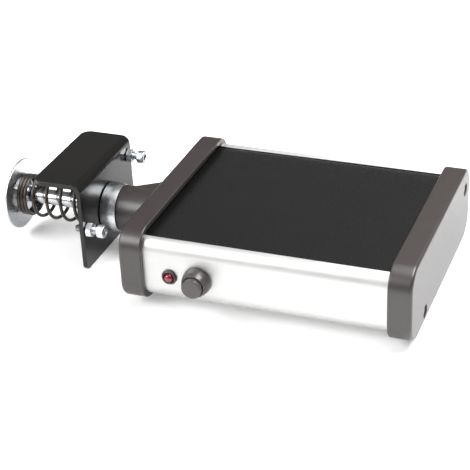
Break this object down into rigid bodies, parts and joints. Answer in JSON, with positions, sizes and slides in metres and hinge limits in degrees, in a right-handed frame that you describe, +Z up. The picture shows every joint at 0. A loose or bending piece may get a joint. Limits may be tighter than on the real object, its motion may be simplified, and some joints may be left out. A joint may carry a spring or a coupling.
{
  "type": "battery drive unit",
  "caption": "Flat battery-powered box with push button and lamp, and at one end a sprung plunger with a disc through a swivelling angle bracket.",
  "frame": {"origin": "centre of the overall box, at the height of its lowest edge", "axes": "+X along the plunger from the disc towards the box, +Y from the button side to the back, +Z up"},
  "size_m": [0.2382, 0.128, 0.0498],
  "materials": {
    "anodised_aluminium": "satin clear anodised",
    "black_panel": "satin black sheet",
    "grey_plastic": "finely textured dark grey moulding",
    "black_paint": "semi-gloss black powder coat on steel",
    "zinc_plate": "bright zinc plate",
    "bright_steel": "polished steel",
    "spring_steel": "blackened spring wire",
    "bronze": "sintered bronze",
    "switch_plastic": "satin black moulding",
    "red_lens": "clear red lens",
    "circuit_green": "solder mask",
    "chip_black": "moulded package",
    "capacitor_sleeve": "shrink sleeve",
    "holder_plastic": "moulded tray",
    "cell_sleeve": "shrink sleeve",
    "copper_winding": "enamelled copper wire",
    "bobbin_nylon": "natural nylon"
  },
  "bodies": {
    "housing": {"housing_extrusion": "anodised_aluminium", "top_panel": "black_panel", "left_bezel": "grey_plastic", "right_bezel": "grey_plastic", "end_screw_left_near": "zinc_plate", "end_screw_left_far": "zinc_plate", "end_screw_right_near": "zinc_plate", "end_screw_right_far": "zinc_plate", "spindle_boss": "grey_plastic", "boss_screw_upper": "zinc_plate", "boss_screw_lower": "zinc_plate", "guide_bush": "bronze", "lamp_holder": "switch_plastic", "lamp_lens": "red_lens", "switch_bushing": "switch_plastic", "switch_nut": "zinc_plate", "switch_block": "chip_black", "solenoid_frame": "zinc_plate", "solenoid_bobbin": "bobbin_nylon", "solenoid_winding": "copper_winding", "circuit_board": "circuit_green", "board_post_1": "bobbin_nylon", "board_post_2": "bobbin_nylon", "board_post_3": "bobbin_nylon", "board_post_4": "bobbin_nylon", "control_chip": "chip_black", "buffer_capacitor": "capacitor_sleeve", "board_connector": "bobbin_nylon", "battery_tray": "holder_plastic", "battery_cell_1": "cell_sleeve", "battery_cell_2": "cell_sleeve", "cell_contact_negative_1": "bright_steel", "cell_contact_positive_1": "bright_steel", "cell_contact_negative_2": "bright_steel", "cell_contact_positive_2": "bright_steel"},
    "lock_ring": {"lock_ring": "zinc_plate"},
    "bracket": {"mounting_bracket": "black_paint", "lock_nut_near": "zinc_plate", "lock_nut_far": "zinc_plate"},
    "adjusting_screw_near": {"adjusting_screw_near": "zinc_plate"},
    "adjusting_screw_far": {"adjusting_screw_far": "zinc_plate"},
    "plunger": {"plunger_rod": "bright_steel", "rod_clip": "spring_steel", "plunger_disc": "zinc_plate", "disc_screw": "zinc_plate", "return_spring": "spring_steel"},
    "button": {"button_cap": "switch_plastic", "button_spring": "bright_steel"}
  },
  "joints": [
    {"name": "plunger_slide", "type": "slide", "parent": "housing", "child": "plunger", "axis": [1, 0, 0], "range_m": [0, 0.015], "stiffness_N_per_m": 2800, "springref_m": -0.004, "deforming": ["return_spring"]},
    {"name": "bracket_swivel", "type": "hinge", "parent": "housing", "child": "bracket", "pos_m": [-0.06485, 0.00305, 0.0228], "axis": [1, 0, 0], "range_deg": [-90, 90]},
    {"name": "lock_ring_turn", "type": "hinge", "parent": "housing", "child": "lock_ring", "pos_m": [-0.059, 0.00305, 0.0228], "axis": [1, 0, 0], "range_deg": [-180, 180]},
    {"name": "adjuster_near_travel", "type": "slide", "parent": "bracket", "child": "adjusting_screw_near", "axis": [1, 0, 0], "range_m": [-0.0015, 0.004]},
    {"name": "adjuster_far_travel", "type": "slide", "parent": "bracket", "child": "adjusting_screw_far", "axis": [1, 0, 0], "range_m": [-0.0015, 0.004]},
    {"name": "button_press", "type": "slide", "parent": "housing", "child": "button", "axis": [0, 1, 0], "range_m": [0, 0.002], "stiffness_N_per_m": 600, "springref_m": -0.002, "deforming": ["button_spring"]}
  ]
}
